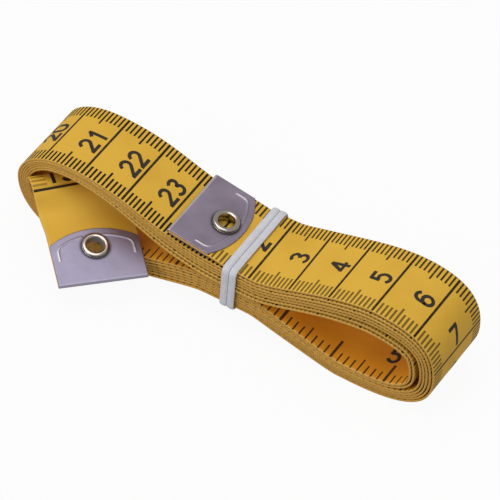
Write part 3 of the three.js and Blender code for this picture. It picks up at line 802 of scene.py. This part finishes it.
def band_path():
    """Rounded square round the waist from the middle underneath, with its outward direction."""
    spots, outward = [], []

    def straight(y0, z0, y1, z1, ny, nz):
        count = max(2, int(math.hypot(y1 - y0, z1 - z0) / 0.35))
        t = np.linspace(0, 1, count + 1)[:-1, None]
        spots.append(np.array([[y0, z0]]) * (1 - t) + np.array([[y1, z1]]) * t)
        outward.append(np.tile([ny, nz], (count, 1)))

    def rounded_corner(cy, cz, from_angle):
        a = np.radians(from_angle) + quarter[:-1]
        spots.append(np.stack([cy + band_corner * np.cos(a), cz + band_corner * np.sin(a)], 1))
        outward.append(np.stack([np.cos(a), np.sin(a)], 1))

    straight(0, band_low, corner_side, band_low, 0, -1)
    rounded_corner(corner_side, band_low + band_corner, -90)
    straight(band_reach, band_low + band_corner, band_reach, band_high - band_corner, 1, 0)
    rounded_corner(corner_side, band_high - band_corner, 0)
    straight(corner_side, band_high, -corner_side, band_high, 0, 1)
    rounded_corner(-corner_side, band_high - band_corner, 90)
    straight(-band_reach, band_high - band_corner, -band_reach, band_low + band_corner, -1, 0)
    rounded_corner(-corner_side, band_low + band_corner, 180)
    straight(-corner_side, band_low, 0, band_low, 0, -1)
    return np.concatenate(spots), np.concatenate(outward)


lap, lap_out = band_path()
lap[:, 1] += band_tilt * lap[:, 0] * (lap[:, 1] - band_low) / (band_high - band_low)
lap_share = np.linspace(0, 1, len(lap), endpoint=False)
low_part = lap_out[:, 1] < -0.5
near_middle = smooth_step(0, cross_reach, np.abs(lap[:, 0]))
round_angle = np.radians(np.linspace(0, 360, 25)[:-1])
section = np.stack([np.cos(round_angle), np.sin(round_angle)])
section = np.sign(section) * np.abs(section) ** 0.95
lap_outward = np.stack([lap_out[:, 0] * 0, lap_out[:, 0], lap_out[:, 1]], 1)
wide = np.array([1.0, 0, 0]) * (section[0] * band_half_wide)[None, :, None]
thick = lap_outward[:, None] * (section[1] * band_half_thick)[None, :, None]
band_rings = []
for lap_number, lap_sign in enumerate((1, -1)):
    shift_x = band_x + lap_sign * np.where(low_part, near_middle, 1.0) * band_half_pitch
    crossing = (lap_number == 0) != (lap_share < 0.5)
    dip = low_part * crossing * (1 - smooth_step(cross_reach, corner_side, np.abs(lap[:, 0])))
    height = lap[:, 1] - (2 * band_half_thick + 0.1) * dip
    middle_line = np.stack([shift_x, lap[:, 0], height], 1)
    band_rings.append(middle_line[:, None] + wide + thick)
band_points = np.concatenate(band_rings)
band_rows, band_columns = band_points.shape[:2]
band_faces = quads(band_rows + 1, band_columns, ring=True) % (band_rows * band_columns)
band_finish = Finish("band_knit", Roughness=0.7, Sheen_Weight=0.15)
band_place = band_finish.place()
band_cloud = band_finish.noise(band_place, 500.0, 3.0)
band_whites = (0.50, 0.50, 0.55, 1), (0.66, 0.66, 0.70, 1)
band_finish.feed("Base Color", band_finish.colours(band_cloud, *band_whites))
rib_values = {"Vector": band_place, "Scale": 600.0}
rib = band_finish.node("ShaderNodeTexWave", {"bands_direction": "X"}, rib_values)
band_finish.feed("Normal", band_finish.relief(rib + band_cloud, 0.4, 0.0001))
band = shaped("band_loop", band_points.reshape(-1, 3), band_faces, [band_finish])
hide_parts("elastic_band")
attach(band, "band")

# Tips: pressed sheet steel folded over each end of the tape, with a rounded edge towards the tape.
# A raised line follows the rim round each front corner, and an eyelet is set through both sheets.
# Painted highlights lighten the raised lines and the top of the fold, and painted shade darkens a
# ring round the eyelet.
sheet_half, sheet_metal, fold_radius = 0.5, 0.2, 0.5
tip_side_length = tip_length * 0.758
tip_side_gap = 0.12
sagitta = tip_length - tip_side_length
arc_radius = (half_width ** 2 + sagitta ** 2) / (2 * sagitta)


def tip_points(columns=97, rows=66):
    """Outer skin of a folded tip laid flat, from the rounded edge over the fold and back below.

    Straight rows run from the edge's arc to the fold above and below, and half a circle joins them.
    """
    even = np.linspace(-1, 1, columns)
    across = np.sin(even * np.pi / 2) * 0.12 + even * 0.88
    y = across * (half_width - tip_side_gap)
    arc_x = -tip_length + arc_radius - np.sqrt(arc_radius ** 2 - y ** 2)
    t = np.linspace(0, 1, rows)[:, None]
    flat_x = arc_x[None] * (1 - t) - fold_radius * t
    a = np.radians(np.linspace(90, -90, 13))[1:-1, None]
    roll_x = -fold_radius + fold_radius * np.cos(a) + 0 * y[None]
    roll_z = sheet_half * np.sin(a) + 0 * y[None]
    flat_z = np.full_like(flat_x, sheet_half)
    x = np.concatenate([flat_x, roll_x, flat_x[::-1]])
    z = np.concatenate([flat_z, roll_z, -flat_z])
    top = np.arange(len(x))[:, None] < rows
    return x, np.tile(y, (len(x), 1)), z, top


def rim_line():
    """Middle of a raised line: along the side, round the front corner and part way on the arc."""
    inset, round_radius = 1.55, 1.9
    reach, radius = half_width - inset, arc_radius - inset
    angle = np.arcsin((reach - round_radius) / (radius - round_radius))
    a = np.linspace(angle, angle * 0.32, 60)
    curve = np.stack([-tip_length + arc_radius - radius * np.cos(a), radius * np.sin(a)], 1)
    corner_x = -tip_length + arc_radius - (radius - round_radius) * np.cos(angle)
    b = np.linspace(0, np.pi / 2 - angle, 30)
    rounded = np.stack([corner_x - round_radius * np.sin(b),
                        reach - round_radius * (1 - np.cos(b))], 1)
    side_run = np.stack([np.linspace(corner_x + 1.7, corner_x, 20), np.full(20, reach)], 1)
    # How strong the painted highlight is along the line: full on the side run, fading round the
    # corner.
    shine = np.concatenate([np.full(20, 1.0), np.linspace(1.0, 0.15, 30), np.full(60, 0.15)])
    return np.vstack([side_run, rounded, curve]), shine


tip_x, tip_y, tip_z, tip_top = tip_points()
line, line_shine = rim_line()
off_each = np.hypot(tip_x[..., None] - line[:, 0], np.abs(tip_y)[..., None] - line[:, 1])
off_line = off_each.min(-1)
# Painted highlights: on the raised line, and on the top of the fold.
painted_highlight = line_shine[off_each.argmin(-1)] * (1 - smooth_step(0.04, 0.2, off_line)) * tip_top
fold_highlight = smooth_step(-0.6, -0.35, tip_x) * smooth_step(0.1, 0.3, tip_z)
tip_z = tip_z + tip_top * 0.14 * (1 - smooth_step(0.03, 0.27, off_line))
from_eyelet = np.hypot(tip_x + eyelet_back, tip_y)
# Painted shade: a dark ring on the top sheet round the eyelet, fading towards its outside.
painted_shade_ring = 0.85 * (1 - smooth_step(2.85, 3.65, from_eyelet)) * tip_top
tip_rows, tip_columns = tip_x.shape
tip_faces = quads(tip_rows, tip_columns)
in_hole = (from_eyelet < 2.4) & (np.abs(tip_z) > 0.45)
tip_faces = tip_faces[~in_hole.reshape(-1)[tip_faces].all(1)]
tip_skin = np.stack([tip_x, tip_y, tip_z], -1).reshape(-1, 3)


def eyelet_skin(segments=72):
    """Rolled ring turned about the hole: flange, rolled rim, bore and the smaller roll behind."""
    profile = np.vstack([
        arc(2.72, 0.58, 0.13, 0.07, -90, 90, 7),
        [[2.40, 0.68], [2.32, 0.82]],
        arc(2.33, 1.09, 0.52, 0.27, -80, 180, 27),
        [[1.80, 0.5], [1.80, -0.5]],
        arc(2.325, -0.70, 0.525, 0.20, 180, 360, 15),
        [[2.85, -0.62], [2.10, -0.62], [2.10, 0.52]],
    ])
    a = np.linspace(0, 2 * np.pi, segments, endpoint=False)[:, None]
    radius, height = profile[None, :, 0], profile[None, :, 1]
    points = np.stack([radius * np.cos(a) - eyelet_back, radius * np.sin(a), height + 0 * a], -1)
    faces = quads(segments + 1, len(profile), ring=True) % (segments * len(profile))
    return points.reshape(-1, 3), faces


def settled(points, center, way, up_dir):
    """Flat points turned onto the tape's end: x times its way, y its side and z its upward way."""
    side_dir = np.cross(up_dir, way)
    return center + points[:, :1] * way + points[:, 1:2] * side_dir + points[:, 2:] * up_dir


def tip_finish(name, light, dark):
    """Satin plated sheet: fine streaks along the fold, a mottled bloom, painted highlights and
    painted shade.
    """
    finish = Finish(name, Metallic=1.0)
    place = finish.place()
    streaks = finish.noise(finish.stretched(place, (1.0, 1.0, 6.0)), 500.0, 4.0, 0.6)
    bloom = finish.noise(place, 110.0, 3.0)
    painted_highlight_mask = finish.node("ShaderNodeAttribute", {"attribute_name": "painted_highlight"}, output="Fac")
    painted_shade = finish.node("ShaderNodeAttribute", {"attribute_name": "painted_shade"}, output="Fac")
    plate = finish.colours(bloom.above(0.3, 0.7), light, dark)
    # Painted shade darkens the ring round the eyelet; then painted highlights lighten the lines and
    # the fold.
    plate = finish.colours(painted_shade, plate, (0.03, 0.027, 0.03, 1))
    finish.feed("Base Color", finish.colours(painted_highlight_mask, plate, (0.86, 0.82, 0.80, 1)))
    finish.feed("Roughness", streaks * 0.16 + 0.44)
    finish.feed("Normal", finish.relief(streaks, 0.25, 0.00006))
    return finish


eyelet_finish = Finish("eyelet_plate", Metallic=1.0)
eyelet_cloud = eyelet_finish.noise(eyelet_finish.place(), 400.0, 3.0)
eyelet_greys = (0.50, 0.45, 0.41, 1), (0.38, 0.34, 0.31, 1)
eyelet_finish.feed("Base Color", eyelet_finish.colours(eyelet_cloud, *eyelet_greys))
eyelet_finish.feed("Roughness", eyelet_cloud * 0.06 + 0.16)

eyelet_points, eyelet_faces = eyelet_skin()
# The two tips are one metal. The start's plate is painted darker and the tail's lighter, as painted
# shade and painted light; the last number is how strong each fold's painted highlight is.
ends = {
    "start": (start[-1], start_way[-1], np.cross(start_side[-1], start_way[-1]),
              tip_finish("tip_plate_start_painted_darker", (0.33, 0.275, 0.35, 1), (0.26, 0.22, 0.275, 1)), 0.6),
    "tail": (tail[-1], tail_way[-1], -np.cross(tail_side[-1], tail_way[-1]),
             tip_finish("tip_plate_tail_painted_lighter", (0.375, 0.345, 0.465, 1), (0.31, 0.285, 0.385, 1)), 0.12),
}
for end, (center, way, up_dir, finish, fold_highlight_share) in ends.items():
    sheet = shaped(f"{end}_tip_sheet", settled(tip_skin, center, way, up_dir), tip_faces, [finish])
    # Painted highlight and painted shade, kept on the sheet for its material.
    painted_light_masks = {"painted_highlight": np.maximum(painted_highlight, fold_highlight_share * fold_highlight), "painted_shade": painted_shade_ring}
    for trace, share in painted_light_masks.items():
        painted_here = sheet.data.attributes.new(trace, "FLOAT", "POINT")
        painted_here.data.foreach_set("value", share.reshape(-1).astype(np.float32))
    wall = sheet.modifiers.new("sheet", "SOLIDIFY")
    wall.thickness = sheet_metal / 1000
    wall.offset = -1
    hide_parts(f"{end}_tip")
    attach(sheet, f"{end}_end")
    ring_points = settled(eyelet_points, center, way, up_dir)
    ring = shaped(f"{end}_eyelet_ring", ring_points, eyelet_faces, [eyelet_finish])
    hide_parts(f"{end}_eyelet")
    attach(ring, f"{end}_end")
